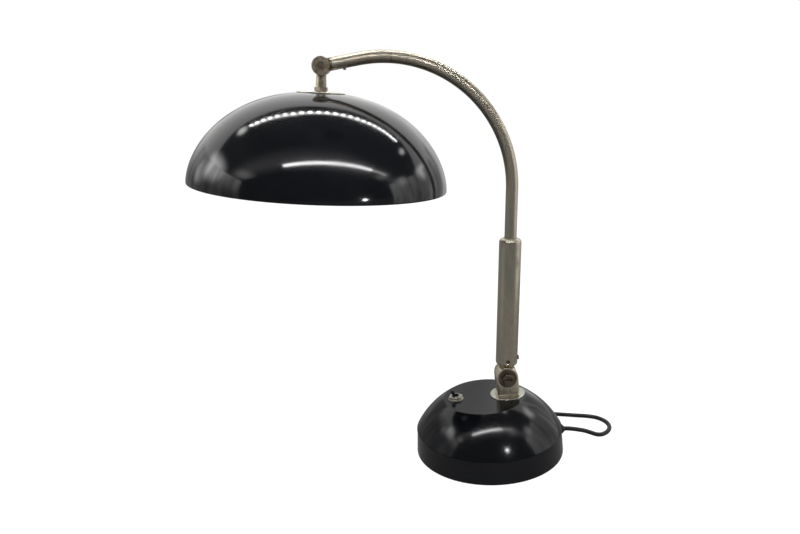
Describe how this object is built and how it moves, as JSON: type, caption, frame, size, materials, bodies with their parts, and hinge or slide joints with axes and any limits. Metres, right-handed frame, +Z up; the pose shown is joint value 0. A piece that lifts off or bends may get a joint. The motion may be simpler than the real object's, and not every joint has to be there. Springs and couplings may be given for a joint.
{
  "type": "dome shade desk lamp",
  "caption": "Desk lamp with a round weighted base, a hinged and swivelling bent arm and a tilting dome shade over a bulb.",
  "frame": {"origin": "middle of the felt's underside, on the table", "axes": "+Z up; the arm and shade reach towards -X; the hinge pin, the knuckle pin and the switch pivot lie along Y"},
  "size_m": [0.4407, 0.2967, 0.4348],
  "materials": {
    "black_lacquer": "gloss",
    "shade_lacquer": "gloss",
    "cast_iron": "matte",
    "steel_plate": "satin",
    "green_felt": "matte",
    "aged_nickel": "satin",
    "bright_nickel": "satin",
    "bronzed_steel": "satin",
    "switch_brown": "gloss",
    "lever_black": "gloss",
    "brass": "satin",
    "fibre": "matte",
    "holder_brown": "gloss",
    "bulb_tin": "satin",
    "opal_glass": "satin",
    "cord_black": "satin",
    "wire_cores": "matte"
  },
  "bodies": {
    "base": {"base_shell": "black_lacquer", "base_ballast": "cast_iron", "base_plate": "steel_plate", "base_felt": "green_felt", "base_screws": "steel_plate", "foot_clevis": "aged_nickel", "escutcheon": "bright_nickel", "foot_stud": "brass", "foot_nuts": "steel_plate", "hinge_bolt": "bronzed_steel", "hinge_washers": "bronzed_steel", "hinge_nut": "bronzed_steel", "switch_body": "switch_brown", "switch_bush": "bright_nickel", "switch_nut": "bright_nickel", "cord_grommet": "cord_black", "cord_inner": "cord_black", "cord_clamp": "brass", "base_leads": "wire_cores", "cord": "cord_black", "cord_coil": "cord_black", "cord_tie": "cord_black", "cord_tail": "cord_black", "plug_body": "cord_black", "plug_pins": "bright_nickel"},
    "lever": {"switch_lever": "lever_black"},
    "lower_arm": {"hinge_tongue": "aged_nickel", "sleeve": "aged_nickel", "sleeve_screws": "bronzed_steel", "sleeve_bush": "brass", "thrust_washer": "fibre"},
    "upper_arm": {"arm_tube": "aged_nickel", "arm_collar": "brass", "arm_end": "aged_nickel", "arm_grub_screw": "bronzed_steel", "arm_wire": "wire_cores"},
    "shade_head": {"shade_knuckle": "aged_nickel", "knuckle_bolt": "bronzed_steel", "knuckle_nut": "bronzed_steel", "stem_nut": "aged_nickel", "shade_top_disc": "bright_nickel", "shade": "shade_lacquer", "shade_lock_ring": "steel_plate", "holder_cap": "holder_brown", "holder_body": "holder_brown", "holder_shell": "brass", "holder_contacts": "brass", "bulb_cap": "bulb_tin", "bulb_glass": "opal_glass"}
  },
  "joints": [
    {"name": "arm_tilt", "type": "hinge", "parent": "base", "child": "lower_arm", "pos_m": [0.0209, 0, 0.08624], "axis": [0, 1, 0], "range_deg": [-40, 20]},
    {"name": "arm_turn", "type": "hinge", "parent": "lower_arm", "child": "upper_arm", "pos_m": [0.0209, 0, 0.08624], "axis": [0.0534, 0, 0.9986], "range_deg": [-150, 150]},
    {"name": "shade_tilt", "type": "hinge", "parent": "upper_arm", "child": "shade_head", "pos_m": [-0.15263, 0, 0.42289], "axis": [0, 1, 0], "range_deg": [-22, 80]},
    {"name": "switch_toggle", "type": "hinge", "parent": "base", "child": "lever", "pos_m": [-0.03481, 0, 0.05498], "axis": [0, 1, 0], "range_deg": [0, 24]}
  ]
}
